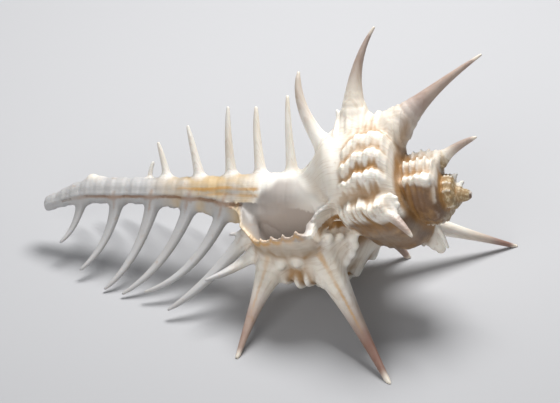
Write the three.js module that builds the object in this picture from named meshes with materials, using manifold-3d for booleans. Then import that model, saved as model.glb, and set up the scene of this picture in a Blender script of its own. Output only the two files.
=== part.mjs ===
// A murex shell standing on the spines of two of its varices, aperture towards the front.
// One solid, grown as one piece: coiled whorls, a long siphonal canal, three rows of spines.
// Millimetres, +Z up. The shell is drawn along its own axis and then turned to stand on the floor.
import * as THREE from "three";
import { mergeVertices } from "three/addons/utils/BufferGeometryUtils.js";
import Module from "manifold-3d";

const wasm = await Module();
wasm.setup();

// How the shell stands
const LEAN_BACK = THREE.MathUtils.degToRad(33); // turn about X: the lip and back rows come down to the floor
const SWING_AWAY = THREE.MathUtils.degToRad(20); // turn about the vertical: the canal points away to the left
const AXIS_HEIGHT = 30.5; // height of the shell's axis over the floor, at the body whorl
const CENTRE = { x: -17.441, y: -6.909 }; // middle of the standing shell, seen from above

// Growth: n counts whorls back from the lip varix, theta the angle around the axis
const APEX_X = 37.4; // the apex, measured along the axis from the body whorl's centre
const WHORL_RADIUS = 23; // at the lip varix
const LONGEST_OUTLINE = 19.8; // the last half whorl grows wider, but not longer
const SHOULDER_DROP = 39.2; // from the apex down to the shoulder at the lip varix
const LIP_VARIX_ANGLE = -20; // degrees from straight down, towards the front is negative
const LIP_EDGE_ANGLE = -56;
const OLDEST_WHORL = 6;
const VARICES = [0, 0.244, 0.569, 0.867, 1.153, 1.556, 1.87, 2.19, 2.52, 2.85];
const VARIX_RISE = 0.2; // share of the whorl radius
const VARIX_WIDTH = 0.032; // in whorls

// Siphonal canal
const CANAL_END_X = -89.4;
const CANAL_RADIUS = 3.6;
const CANAL_ROOT_RADIUS = 4.6;
const CANAL_END_RADIUS = 1.6;
const CANAL_OFFSET = 1.3; // the canal runs a little above the axis
const CANAL_DROOP = 3.9; // and its end bends down by this much

// Facets
const RING_SIDES = 44;
const SPINE_SIDES = 6;
const SPINE_RINGS = 6;

const { clamp, degToRad, lerp, smoothstep } = THREE.MathUtils;

const whorlRadius = (n) => WHORL_RADIUS * Math.exp(-0.74 * (Math.hypot(n, 0.7) - 0.7));
function shoulderX(n) {
  const back = Math.max(n, 0);
  return APEX_X - SHOULDER_DROP * Math.exp(-0.6 * back - 0.55 * (1 - Math.exp(-1.3 * back)));
}
const growthAt = (thetaDeg) => (thetaDeg - LIP_VARIX_ANGLE) / 360;

// Outline of a whorl, in whorl radii: how far below the shoulder, and how wide it is there
const OUTLINE = [
  [-0.42, 0.1],
  [-0.3, 0.4],
  [-0.16, 0.74],
  [0, 0.92],
  [0.3, 1],
  [0.6, 0.98],
  [0.9, 0.92],
  [1.03, 0.84],
  [1.14, 0.7],
  [1.25, 0.55],
  [1.38, 0.39],
  [1.6, 0.24],
  [2, 0.1],
];

function outlineWidth(below) {
  if (below <= OUTLINE[0][0]) return 0;
  const next = OUTLINE.findIndex(([b]) => b > below);
  if (next < 0) return 0;
  const [b0, w0] = OUTLINE[next - 1];
  const [b1, w1] = OUTLINE[next];
  return lerp(w0, w1, (below - b0) / (b1 - b0));
}

function varixRise(n) {
  const bump = (at) => Math.exp(-(((n - at) / VARIX_WIDTH) ** 2));
  return 1 + VARIX_RISE * Math.max(...VARICES.map(bump));
}

function whorlSurface(n, x) {
  const radius = whorlRadius(n);
  const length = Math.min(radius, LONGEST_OUTLINE);
  return radius * varixRise(n) * outlineWidth((shoulderX(n) - x) / length);
}

function canalSurface(x) {
  const root = lerp(CANAL_RADIUS, CANAL_ROOT_RADIUS, smoothstep(x, -50, -20));
  const tip = lerp(CANAL_END_RADIUS, root, smoothstep(x, CANAL_END_X - 2, -72));
  return x > 0 ? 0.1 : tip;
}

// Distance from the axis to the outside of the shell, at a station along it
function shellRadius(thetaDeg, x) {
  let radius = canalSurface(x);
  for (let n = growthAt(thetaDeg); n < OLDEST_WHORL; n += 1)
    radius = Math.max(radius, whorlSurface(n, x));
  return Math.max(radius, 0.25);
}

const axisHeight = (x) =>
  CANAL_OFFSET * (1 - smoothstep(x, -30, -8)) -
  (CANAL_OFFSET + CANAL_DROOP) * (1 - smoothstep(x, CANAL_END_X - 4, -70));

function pointAt(thetaDeg, radius, x) {
  const theta = degToRad(thetaDeg);
  return new THREE.Vector3(x, radius * Math.sin(theta), axisHeight(x) - radius * Math.cos(theta));
}

// A closed surface through rings of points, its two ends closed by fans
function loft(rings) {
  const sides = rings[0].length;
  const points = rings.flat();
  const middle = (ring) =>
    ring.reduce((sum, p) => sum.add(p), new THREE.Vector3()).divideScalar(sides);
  const first = points.push(middle(rings[0])) - 1;
  const last = points.push(middle(rings.at(-1))) - 1;
  const index = [];
  for (let j = 0; j < sides; j++) {
    const k = (j + 1) % sides;
    for (let i = 0; i + 1 < rings.length; i++) {
      const [a, b] = [i * sides + j, i * sides + k];
      index.push(a, b, a + sides, b, b + sides, a + sides);
    }
    const end = (rings.length - 1) * sides;
    index.push(first, k, j, last, end + j, end + k);
  }
  const geometry = new THREE.BufferGeometry().setFromPoints(points);
  geometry.setIndex(index);
  return geometry;
}

function solidOf(geometry) {
  const bare = mergeVertices(geometry.clone().deleteAttribute("normal").deleteAttribute("uv"));
  const made = new wasm.Manifold(
    new wasm.Mesh({
      numProp: 3,
      vertProperties: bare.attributes.position.array,
      triVerts: new Uint32Array(bare.index.array),
    }),
  );
  if (made.volume() > 0) return made;
  const index = bare.index.array;
  for (let i = 0; i < index.length; i += 3)
    [index[i + 1], index[i + 2]] = [index[i + 2], index[i + 1]];
  return solidOf(bare);
}

// Whorls and canal: rings around the axis, closer together on the body and the spire
function whorlsAndCanal() {
  const stations = [];
  for (let x = CANAL_END_X; x < -36; x += 5.2) stations.push(x);
  for (let x = -34; x < 22; x += 2.3) stations.push(x);
  for (let x = 22; x < APEX_X; x += 1.5) stations.push(x);
  const step = 360 / RING_SIDES;
  return loft(
    stations.map((x) =>
      Array.from({ length: RING_SIDES }, (_, j) => {
        const theta = LIP_EDGE_ANGLE + j * step;
        return pointAt(theta, shellRadius(theta, x), x);
      }),
    ),
  );
}

// The hollow behind the aperture: an oval that follows the last whorl back and narrows
const MOUTH = { x: -14.5, radius: 13.5, halfLong: 11.5, halfWide: 6.2, turn: 0.3 };
const MOUTH_DEPTH = 150; // degrees of the last whorl
const MOUTH_STEPS = 10;
const MOUTH_SIDES = 14;

function mouthHollow() {
  const rings = [];
  for (let i = 0; i <= MOUTH_STEPS; i++) {
    const along = i / MOUTH_STEPS;
    const theta = LIP_EDGE_ANGLE - 14 + along * MOUTH_DEPTH;
    const shrink = lerp(1, 0.3, along ** 1.5);
    const x = MOUTH.x + along * 19;
    const ring = [];
    for (let j = 0; j < MOUTH_SIDES; j++) {
      const a = (2 * Math.PI * j) / MOUTH_SIDES;
      const long = MOUTH.halfLong * shrink * Math.cos(a);
      const wide = MOUTH.halfWide * shrink * Math.sin(a);
      const dx = long * Math.cos(MOUTH.turn) - wide * Math.sin(MOUTH.turn);
      const dr = long * Math.sin(MOUTH.turn) + wide * Math.cos(MOUTH.turn);
      ring.push(pointAt(theta, MOUTH.radius - along * 1.5 + dr, x + dx));
    }
    rings.push(ring);
  }
  return loft(rings);
}

// The slit that opens the canal along its front
const SLIT = { angle: -57, width: 0.9, depth: 2, from: -31, to: -84 };

function canalSlit() {
  const rings = [];
  for (let i = 0; i <= 8; i++) {
    const x = lerp(SLIT.from, SLIT.to, i / 8);
    const floor = canalSurface(x) - SLIT.depth * clamp((x - CANAL_END_X) / 14, 0.35, 1);
    const half = (radius) => THREE.MathUtils.radToDeg(SLIT.width / 2 / radius);
    const top = canalSurface(x) + 2.5;
    rings.push([
      pointAt(SLIT.angle - half(floor), floor, x),
      pointAt(SLIT.angle + half(floor), floor, x),
      pointAt(SLIT.angle + half(top), top, x),
      pointAt(SLIT.angle - half(top), top, x),
    ]);
  }
  return loft(rings);
}

// Spines, row by row: root, middle and tip, then the width at the root and at the tip. Points are
// right, up and towards the front of the body whorl's centre, as the front of the shell is seen.
const LIP_SPINES = [
  [[-4.8, -18.8, 6], [3.4, -35.6, 15], [12.4, -53, 24.9], 6.4, 1.8],
  [[-19.8, -18.5, 1], [-25.2, -31.6, 7.6], [-30.4, -46.2, 14.4], 6, 1.6],
  [[-25.2, -16.5, -0.5], [-32.2, -21, 2], [-38.9, -23.8, 5], 3.2, 0.9],
  [[-27.2, -11.5, -3.2], [-38.6, -23.8, -2.2], [-49.4, -32.1, -1], 3.8, 0.9],
  [[-33, -2.5, -10.5], [-42.6, -18.8, -9], [-56, -27.2, -8], 3.4, 0.9],
  [[-42.8, -1.2, -14.5], [-50.7, -17.1, -12.6], [-62.3, -27.7, -11], 3.2, 0.9],
  [[-53.6, -1.2, -18.4], [-59, -16, -15.8], [-67.3, -26.3, -13.5], 3.1, 0.9],
  [[-64, -1.2, -22.1], [-67.5, -12.6, -20], [-74.2, -20.9, -18], 2.8, 0.9],
  [[-74, -1.5, -25.7], [-76.2, -8.4, -24.4], [-79.9, -13.2, -23], 2.2, 0.9],
];
const BACK_SPINES = [
  [[14.4, -6, -16.8], [34.4, -11, -26.6], [49.3, -14.7, -34.1], 5.4, 1.6],
  [[7, -8, -20.5], [13.4, -12.6, -25.2], [18.2, -18, -29], 4.6, 1.6],
  [[-7.8, -6.2, -19.6], [-11.6, -9, -28.2], [-16.8, -14.2, -34.9], 4.4, 1.6],
  [[-19, 0, -12], [-24.4, 0.4, -26], [-33, -1, -37], 3.6, 0.9],
  [[-31, 1, -13], [-34.6, 1, -27.6], [-43, 0, -39], 3.3, 0.9],
  [[-40, 1.2, -16.2], [-44, 1.2, -30.4], [-53, 0, -41.5], 3.1, 0.9],
  [[-49.5, 1.2, -19.6], [-53, 1.2, -33], [-61, 0, -43], 3, 0.9],
  [[-59, 1.2, -23], [-61.6, 1.2, -33.4], [-67.5, 0, -41.5], 2.7, 0.9],
  [[-68, 1, -26.3], [-69.6, 0.8, -33.6], [-73.5, 0, -39], 2.2, 0.9],
];
const SIDE_SPINES = [
  [[14.5, 19.5, 6.5], [25.2, 29.6, 9.6], [37.8, 39.1, 12], 5.8, 0.9],
  [[2.8, 20, 3], [3.2, 34.6, 4.4], [8, 46.8, 6], 5.2, 0.9],
  [[-5.6, 13.5, -1], [-11.8, 24.4, -1], [-13, 34.3, -1], 4.2, 0.9],
  [[-14.6, 4.5, -5.2], [-15.7, 17, -5.2], [-16.1, 27.7, -5.2], 2.8, 0.9],
  [[-23.2, 3.5, -8.4], [-24.5, 14.8, -8.4], [-24.9, 24.4, -8.4], 3, 1.1],
  [[-31.5, 3.2, -11.5], [-32.6, 14.8, -11.5], [-32.8, 24.5, -11.5], 2.8, 1],
  [[-40.2, 3, -14.6], [-42.3, 12, -14.9], [-44.1, 19.3, -15.2], 2.7, 0.9],
  [[-49.5, 3, -18], [-50.9, 9.4, -18.2], [-52.4, 14.6, -18.4], 2.3, 0.9],
  [[-54.9, 3.3, -20], [-54.6, 6.6, -20], [-53.8, 9.2, -20], 1.5, 0.8],
];
// The spines left on the whorl before: front, back (broken off), back small, side
const SPIRE_SPINES = [
  [[10.6, -4.2, 20], [14.5, -7.3, 24.8], [18.5, -11.5, 27.5], 3.8, 0.9],
  [[23.2, -10.6, 0.5], [25.4, -13.4, 0.2], [27.1, -16, 0], 3.8, 3],
  [[25, -7, 3], [27, -10.8, 3], [28.8, -14.6, 3], 1.6, 0.9],
  [[26.6, 9.8, 9.5], [31.2, 13.4, 11.2], [36.4, 16.1, 13], 3.4, 0.9],
];

function fromFront([right, up, front]) {
  const axial = right * Math.cos(SWING_AWAY) + front * Math.sin(SWING_AWAY);
  const away = right * Math.sin(SWING_AWAY) - front * Math.cos(SWING_AWAY);
  return new THREE.Vector3(axial, away, up);
}

function spine([rootPoint, middlePoint, tipPoint, rootWidth, tipWidth]) {
  const [root, middle, tip] = [rootPoint, middlePoint, tipPoint].map(fromFront);
  const bend = middle.multiplyScalar(2).sub(root.clone().add(tip).divideScalar(2));
  const path = new THREE.QuadraticBezierCurve3(root, bend, tip);
  const frames = path.computeFrenetFrames(SPINE_RINGS - 1, false);
  const rings = frames.normals.map((normal, i) => {
    const along = i / (SPINE_RINGS - 1);
    const centre = path.getPointAt(along);
    const radius = lerp(tipWidth, rootWidth, (1 - along) ** 0.85) / 2;
    return Array.from({ length: SPINE_SIDES }, (_, j) => {
      const a = (2 * Math.PI * j) / SPINE_SIDES;
      return centre
        .clone()
        .addScaledVector(normal, radius * Math.cos(a))
        .addScaledVector(frames.binormals[i], radius * Math.sin(a));
    });
  });
  return loft(rings);
}

// One shell: whorls and canal, hollowed at the aperture and the slit, with every spine joined on
function wholeShell() {
  const rows = [LIP_SPINES, BACK_SPINES, SIDE_SPINES, SPIRE_SPINES];
  let shell = solidOf(whorlsAndCanal());
  for (const one of rows.flat()) shell = shell.add(solidOf(spine(one)));
  return shell.subtract(solidOf(mouthHollow())).subtract(solidOf(canalSlit()));
}

function geometryOf(solid) {
  const { vertProperties, triVerts } = solid.getMesh();
  return new THREE.BufferGeometry()
    .setAttribute("position", new THREE.BufferAttribute(vertProperties, 3))
    .setIndex(new THREE.BufferAttribute(triVerts, 1));
}

// Turned to stand, with the tips that carry it worn flat on the floor
const standing = new THREE.Matrix4()
  .makeTranslation(-CENTRE.x, -CENTRE.y, AXIS_HEIGHT)
  .multiply(new THREE.Matrix4().makeRotationX(-LEAN_BACK))
  .multiply(new THREE.Matrix4().makeRotationZ(-SWING_AWAY));

function wornFlat(geometry) {
  const ground = new THREE.BoxGeometry(400, 400, 40).translate(0, 0, -20);
  return geometryOf(solidOf(geometry).subtract(solidOf(ground)));
}

const shell = new THREE.Mesh(
  wornFlat(geometryOf(wholeShell()).applyMatrix4(standing)),
  new THREE.MeshStandardMaterial({ color: 0xeadfcb, roughness: 0.5, metalness: 0 }),
);
shell.name = "shell";
shell.geometry.computeVertexNormals();

const murex = new THREE.Group();
murex.add(shell);

export default murex;
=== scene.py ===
import math

import bmesh
import bpy
import numpy as np
import openvdb
from mathutils import Matrix, Vector


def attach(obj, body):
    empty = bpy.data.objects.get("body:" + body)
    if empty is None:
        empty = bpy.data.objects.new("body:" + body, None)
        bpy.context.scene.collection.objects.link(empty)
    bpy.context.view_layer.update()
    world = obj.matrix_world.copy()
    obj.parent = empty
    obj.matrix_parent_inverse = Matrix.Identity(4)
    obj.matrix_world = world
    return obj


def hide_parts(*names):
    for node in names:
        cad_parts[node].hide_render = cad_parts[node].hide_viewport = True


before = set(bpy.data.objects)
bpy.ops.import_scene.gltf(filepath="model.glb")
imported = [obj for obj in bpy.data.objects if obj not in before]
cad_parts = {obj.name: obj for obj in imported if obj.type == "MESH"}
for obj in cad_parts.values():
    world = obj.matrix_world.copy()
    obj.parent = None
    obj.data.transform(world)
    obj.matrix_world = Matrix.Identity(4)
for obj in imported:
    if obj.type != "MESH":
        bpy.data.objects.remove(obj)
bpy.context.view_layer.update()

# The view. The shell stands on the tips of five spines, its mouth to the front and its canal to the left,
# swung away a little. It is seen from the front, 33 degrees above the floor, from far off. Sizes are
# millimetres, and places are right, up and front of the middle of the body.
LOOK_DOWN = math.radians(33)
SWING_AWAY = math.radians(20)
BODY_CENTRE = np.array((17.441, 6.909, 30.5))
RIGHT = np.array((1.0, 0.0, 0.0))
UP = np.array((0.0, math.sin(LOOK_DOWN), math.cos(LOOK_DOWN)))
FRONT = np.array((0.0, -math.cos(LOOK_DOWN), math.sin(LOOK_DOWN)))
MILLIMETRE = 0.001
PICTURE_WIDTH = 156.8
PICTURE_CENTRE = (-18.2, -1.82)
CAMERA_DISTANCE = 4500.0
SENSOR_WIDTH = 36.0
FARTHEST_SEEN = 20000.0

camera_data = bpy.data.cameras.new("camera")
camera_data.sensor_width = SENSOR_WIDTH
camera_data.lens = SENSOR_WIDTH * CAMERA_DISTANCE / PICTURE_WIDTH
camera_data.clip_end = FARTHEST_SEEN * MILLIMETRE
camera = bpy.data.objects.new("camera", camera_data)
bpy.context.scene.collection.objects.link(camera)
look_at = BODY_CENTRE + PICTURE_CENTRE[0] * RIGHT + PICTURE_CENTRE[1] * UP
camera_place = Matrix(np.column_stack((RIGHT, UP, FRONT)).tolist()).to_4x4()
camera_place.translation = Vector((look_at + CAMERA_DISTANCE * FRONT) * MILLIMETRE)
camera.matrix_world = camera_place
bpy.context.scene.camera = camera

# The whorls. A murex lays one tube of chalky shell round a straight axis, each turn larger than the last.
# It rests three times a turn and builds a thick rib, a varix, with low ribs between and cords along it.
# Stations run along the axis, apex positive, angles round it, and ages are turns back from the lip varix.
APEX = 37.4
WHORL_RADIUS = 23.0
GROWTH_RATE = 0.74
GROWTH_EASE = 0.7
LONGEST_OUTLINE = 19.8
SHOULDER_DROP = 39.2
CLIMB_RATE = 0.6
EARLY_CLIMB = 0.55
EARLY_CLIMB_RATE = 1.3
SHOULDER_SAG = 2.2
SHOULDER_SAG_AGE = 0.75
SHOULDER_SAG_SPREAD = 0.15
RAMP_STEEPENS = 1.6
LIP_VARIX_ANGLE = -20.0
LIP_EDGE_ANGLE = -56.0
LIP_EDGE_AGE = (LIP_EDGE_ANGLE - LIP_VARIX_ANGLE) / 360
SPIRE_AGE = 1.2
TALL_VARIX = 0.84
VARICES = ((0, 1.0), (0.244, 1.0), (0.569, 1.0), (TALL_VARIX, 1.5), (1.153, 1.0), (1.556, 0.9), (1.87, 0.1),
           (2.19, 0.5), (2.52, 0.6), (2.85, 0.5), (3.2, 0.5), (3.55, 0.5))
VARIX_AHEAD = 0.017
VARIX_BEHIND = 0.034
VARIX_RISE = 0.17
VARIX_STRETCH = 0.11
VARIX_REACH = 0.07
RIBS = ((0.06, 1.1), (0.12, 1.2), (0.18, 1.0), (0.325, 1.0), (0.405, 1.0), (0.485, 1.0), (0.65, 1.0),
        (0.706, 1.1), (0.76, 1.1), (0.95, 0.2), (1.05, 0.2), (1.25, 0.8), (1.35, 0.8), (1.45, 0.8),
        (1.64, 1.2), (1.73, 1.45), (1.95, 0.4), (2.03, 0.9), (2.11, 0.9), (2.27, 0.9), (2.36, 0.9),
        (2.44, 0.9), (2.6, 0.9), (2.69, 0.9), (2.77, 0.9), (2.95, 0.9), (3.05, 0.9), (3.3, 0.9), (3.42, 0.9))
RIB_AHEAD = 0.017
RIB_BEHIND = 0.025
RIB_RISE = 0.1
RIB_LEAN = 0.03
RIB_ARCH = 0.026
ARCHED_AGES = (0.57, 0.68, 0.74, 0.84)
SPIRE_RIDGE_STRETCH = 1.25
DIP_AGE = 0.96
DIP_DEPTH = 0.1
BUILD_UP = 1.8
BUILD_UP_AGE = 0.64
OUTLINE_BELOW = (-0.38, -0.24, -0.1, 0.06, 0.2, 0.35, 0.6, 0.9, 1.03, 1.14, 1.25, 1.38, 1.6, 2, 2.6)
OUTLINE_WIDTH = (0.15, 0.46, 0.74, 0.9, 0.97, 0.99, 0.98, 0.92, 0.84, 0.7, 0.55, 0.39, 0.24, 0.1, 0.04)
SCULPTED_BELOW = (-0.12, 0.1, 1.02, 1.34)
CORD_SPACING = 0.1944
CORD_PHASE = 0.869
CORD_RISE = 0.006
CORD_RISE_ON_SPIRE = 0.007
BEAD_ON_RIB = 0.02
BEAD_ON_SPIRE_RIB = 0.025
BEAD_ON_VARIX = 0.038
SCALE_RISE = 0.008
GLAZE_THICKNESS = 0.5


def smooth_step(value, low, high):
    part = np.clip((value - low) / (high - low), 0, 1)
    return part * part * (3 - 2 * part)


def smooth_min(a, b, width):
    near = np.maximum(width - np.abs(a - b), 0) / width
    return np.minimum(a, b) - near * near * width / 4


def band(value, rise_from, rise_to, fall_from, fall_to):
    """Eased up to 1 over the rise and back to 0 over the fall."""
    return smooth_step(value, rise_from, rise_to) * (1 - smooth_step(value, fall_from, fall_to))


def hump(value, middle, width, power=2):
    """1 at the middle, dying away to both sides; a higher power makes its top flatter."""
    return np.exp(-((value - middle) / width) ** power)


def whorl_radius(age):
    return WHORL_RADIUS * np.exp(-GROWTH_RATE * (np.hypot(age, GROWTH_EASE) - GROWTH_EASE))


def shoulder_station(age):
    back = np.maximum(age, 0)
    drop = SHOULDER_DROP * np.exp(-CLIMB_RATE * back - EARLY_CLIMB * (1 - np.exp(-EARLY_CLIMB_RATE * back)))
    return APEX - drop - SHOULDER_SAG * hump(back, SHOULDER_SAG_AGE, SHOULDER_SAG_SPREAD)


# The outline of one turn, from the suture down to the canal, with its corners rounded off.
BELOW = np.linspace(-0.8, 2.6, 700)
soften = np.exp(-np.linspace(-2, 2, 33) ** 2)
OUTLINE = np.convolve(np.interp(BELOW, OUTLINE_BELOW, OUTLINE_WIDTH, 0), soften / soften.sum(), "same")

# Varices and ribs across the tube, each steeper on the side that grew last.
AGES = np.arange(-0.4, 9, 0.001)


def ridges(places, ahead, behind):
    total = np.zeros_like(AGES)
    for place, height in places:
        off = (AGES - place) / (SPIRE_RIDGE_STRETCH if place > SPIRE_AGE else 1.0)
        total = np.maximum(total, height * hump(off, 0, np.where(off < 0, ahead, behind)))
    return total


VARIX_PROFILE = ridges(VARICES, VARIX_AHEAD, VARIX_BEHIND)
RIB_PROFILE = ridges(RIBS, RIB_AHEAD, RIB_BEHIND)

# Glaze covers the older turn beside the mouth, as far as the flange. The flange's crest runs through these.
FLANGE_ANGLES = (-92, -84, -77, -70, -63, -56, -50)
FLANGE_STATIONS = (5.0, 1.8, -1.2, -3.2, -4.6, -4.8, -4.2)
FLANGE_AGES = [(angle - LIP_VARIX_ANGLE) / 360 + 1 for angle in FLANGE_ANGLES]
GLAZE_START = 0.625
GLAZE_START_SLOPE = 0.0022
GLAZE_SIDE = 4.4


def callus(age, station):
    """Share of the smooth glaze laid over the older turn beside the mouth."""
    ragged = 0.5 * np.sin(station * 1.1) + 0.4 * np.sin(station * 2.3 + 1)
    start = GLAZE_START + GLAZE_START_SLOPE * (4 - station) + 0.003 * ragged
    side = np.interp(age, FLANGE_AGES, FLANGE_STATIONS, GLAZE_SIDE) + 0.4 * np.sin(age * 150)
    side = np.where(age > FLANGE_AGES[-1], GLAZE_SIDE, side)
    within = 1 - smooth_step(station, side - 1.0, side + 1.4)
    return band(age, start - 0.004, start + 0.01, 1.4, 1.5) * within


def place_below(station, age, size):
    """How far below the shoulder, as a share of the turn; the ramp above it is steeper on the spire."""
    below = (shoulder_station(age) - station) / np.minimum(size, LONGEST_OUTLINE)
    return np.where(below < 0, below * (1 + RAMP_STEEPENS * smooth_step(age, 0.3, 0.65)), below)


def plain_wall(station, age):
    size = whorl_radius(age)
    return size * np.interp(place_below(station, age, size), BELOW, OUTLINE)


def sculpture(station, age):
    """Radius of the wall with its varices, ribs and cords, how near a crest, and how far from glaze."""
    size = whorl_radius(age)
    below = place_below(station, age, size)
    on_spire = smooth_step(age, SPIRE_AGE, SPIRE_AGE + 0.1)
    past_lip = smooth_step(age, 0.02, 0.1)
    wander = 0.004 * np.sin(9 * below + 11 * age) + 0.003 * np.sin(23 * below + 5 * age)
    arch = RIB_ARCH * np.minimum(((below - 0.28) / 0.32) ** 2, 1.3) * band(age, *ARCHED_AGES)
    lean = age - RIB_LEAN * (below - 0.45) + wander - arch
    varix = np.interp(lean, AGES, VARIX_PROFILE)
    varix = varix * (1 - hump(lean, TALL_VARIX, VARIX_REACH, 4) * (1 - smooth_step(below, 0.0, 0.14)))
    rib = np.interp(lean, AGES, RIB_PROFILE)
    bare = 1 - callus(age, station)
    wall = band(below, *SCULPTED_BELOW) * bare
    strong = np.cos(2 * np.pi * (below - CORD_PHASE) / CORD_SPACING)
    fine = np.cos(4 * np.pi * (below - CORD_PHASE) / CORD_SPACING)
    fine_share = 0.1 + 0.4 * past_lip - 0.2 * on_spire
    beads = (1 - fine_share) * strong + fine_share * fine
    cords = (CORD_RISE + CORD_RISE_ON_SPIRE * on_spire + (BEAD_ON_RIB + BEAD_ON_SPIRE_RIB * on_spire) * rib
             + (BEAD_ON_VARIX - 0.01 * past_lip) * varix) * beads
    scales = SCALE_RISE * past_lip * varix ** 2 * np.maximum(strong, 0) ** 3
    bead_share = 0.5 - 0.3 * past_lip
    crest = wall * np.maximum(varix, rib) * (1 - bead_share + bead_share * beads)
    rise = VARIX_RISE * varix + RIB_RISE * rib - DIP_DEPTH * hump(lean, DIP_AGE, VARIX_REACH, 4)
    body = np.interp(below + VARIX_STRETCH * varix * bare, BELOW, OUTLINE)
    radius = size * (body * (1 + rise * wall) + (cords + scales) * wall)
    build_up = BUILD_UP * hump(age, BUILD_UP_AGE, 0.05) * smooth_step(below, 0.8, 1.1)
    return radius + (GLAZE_THICKNESS * (1 - bare) + build_up) * smooth_step(body, 0.12, 0.4), crest, wall


def carved_wall(station, age):
    return sculpture(station, age)[0]


# The canal. Below the last turn the tube narrows to a long siphon canal, of the same shell and laid with it.
# It is bent a little, ringed by its growth, keeled near the body and open along a fine slit at the front.
CANAL_END = -89.4
CANAL_RADIUS = 3.6
CANAL_ROOT_RADIUS = 4.6
CANAL_END_RADIUS = 1.9
CANAL_OFFSET = 1.3
CANAL_LEAST_RADIUS = 0.1
CANAL_DROOP = 3.3
CANAL_SWELL = 0.02
RING_RISE = 0.09
FINE_RING_RISE = 0.05
KEEL_ANGLE = -18.0
KEEL_SPREAD = 24.0
KEEL_STATIONS = (-64, -58, -52, -42, -32, -27, -22, -15)
KEEL_RISES = (0, 0.4, 1.1, 2.7, 5.0, 4.6, 2.0, 0)
SLIT_ANGLE = -63.0
SLIT_TURN = 14.0
SLIT_HALF_WIDTH = 0.3
SLIT_DEPTH = 0.7
SLIT_FROM = -29.0
SLIT_TO = -84.0
FAR_FROM_SLIT = 9.0
SLIT_RIM = 0.35
SLIT_RIM_ANGLE = -12.0
SLIT_RIM_SPREAD = 9.0


def slit_angle(station):
    return SLIT_ANGLE + SLIT_TURN * smooth_step(station, -56, -30)


def canal_wall(station, theta):
    root = CANAL_RADIUS + (CANAL_ROOT_RADIUS - CANAL_RADIUS) * smooth_step(station, -50, -20)
    wall = CANAL_END_RADIUS + (root - CANAL_END_RADIUS) * smooth_step(station, CANAL_END - 2, -72)
    rim = SLIT_RIM * hump(theta, slit_angle(station) + SLIT_RIM_ANGLE, SLIT_RIM_SPREAD)
    keel = np.interp(station, KEEL_STATIONS, KEEL_RISES) * hump(theta, KEEL_ANGLE, KEEL_SPREAD)
    rings = RING_RISE * np.sin(station * 1.7 + 0.6 * np.sin(station * 0.37))
    rings = rings + FINE_RING_RISE * np.sin(station * 4.1)
    swell = 1 + CANAL_SWELL * np.sin(station * 0.9)
    wall = wall * swell + rings + rim * smooth_step(-station, 26, 32) + keel
    return CANAL_LEAST_RADIUS + wall * (1 - smooth_step(station, 0, 14))


def axis_height(station):
    """Height of the canal's middle over the shell's axis: it starts raised and its end droops."""
    return (CANAL_OFFSET * (1 - smooth_step(station, -30, -8))
            - (CANAL_OFFSET + CANAL_DROOP) * (1 - smooth_step(station, CANAL_END - 5.6, -75)))


def slit_field(station, radius, back):
    """Signed distance to the slit's cut along the canal; far from it on the other side of the axis."""
    turn = np.radians(back + LIP_EDGE_ANGLE - slit_angle(station))
    facing = np.cos(turn) > 0
    across = np.abs(radius * np.sin(turn)) - SLIT_HALF_WIDTH
    deep = canal_wall(station, slit_angle(station)) - SLIT_DEPTH * smooth_step(-station, 28, 37) - radius
    ends = np.maximum(station - SLIT_FROM, SLIT_TO - station)
    return np.where(facing, np.maximum(np.maximum(across, deep), ends), FAR_FROM_SLIT)


# The mouth. The last turn ends in a thin lip with teeth, over a smooth glazed hollow that runs back into the
# tube. A scalloped flange closes its upper end, and a dished plate carries the glaze down to the canal.
WALLS_STEP = 0.12
WALLS_ANGLE_STEP = 0.25
LIP_OVERHANG = 45.0
HOLLOW_END = 190.0
OLDER_TURNS = range(1, 8)
STATIONS = np.arange(-93, 41, WALLS_STEP)
BACKS = np.arange(-LIP_OVERHANG, 361, WALLS_ANGLE_STEP)
LIP_STATIONS = (-30, -27, -24.6, -22.6, -20, -16.6, -14.5, -10.6, -6.6, -2)
LIP_RECEDES = (8, 6, 8, 12, 7.5, 2.7, 0.2, -2.3, -4.8, 0)
TOOTH_SPACING = 3.85
TOOTH_PLACE = -19.0
TOOTH_LENGTH = 2.8
SMALL_TOOTH_LENGTH = 0.6
LIP_FLARE = 1.1
LEFT_FLARE = 4.0
LEFT_FLARE_PLACE = -26.0
LIP_EDGE_THICKNESS = 0.9
LIP_THICKENS = 1.3
HOLLOW_CLOSES = 14.0
HOLLOW_FLOOR_GAP = 0.3
HOLLOW_UNDER_SHOULDER = 3.5
HOLLOW_FILLET = 3.0
SUTURE_FILLET = 1.2
FLANGE_RADII = (14.6, 14.4, 14.8, 15.6, 17.0, 19.5, 21.5)
FLANGE_HALF_THICKNESS = 0.6
FLANGE_LEAN = 3.6
FLANGE_ROOT_RADIUS = 3.0
FLANGE_SCALLOP = 0.5
FLANGE_SCALLOP_ANGLE = 4.0
FLANGE_SCALLOP_SINK = 0.3
FLANGE_FOOT_AHEAD = 1.0
FLANGE_FOOT_BEHIND = 5.5
FLANGE_FOOT_FADES = 0.55
FLANGE_END_FILLET = 2.4
FLANGE_STEEPNESS = 0.8
PLATE_FRONT = -6.4
PLATE_THICKNESS = 7.0
PLATE_LOW = -13.0
PLATE_HIGH = 5.2
PLATE_FROM = -29.0
PLATE_TO = -2.0
PLATE_SWELL = 4.0
PLATE_SINK = 4.2
PLATE_TOP_SINK = 2.4
PLATE_UNDERCUT = 7.0
PLATE_OVERCUT = 4.5
PLATE_FILLET = 2.5
PLATE_INSIDE_WALL = 0.6


def angle_of(back):
    """Angle round the axis, -180 to 180, of a place so many degrees back from the lip edge."""
    return (back + LIP_EDGE_ANGLE + 180) % 360 - 180


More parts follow.
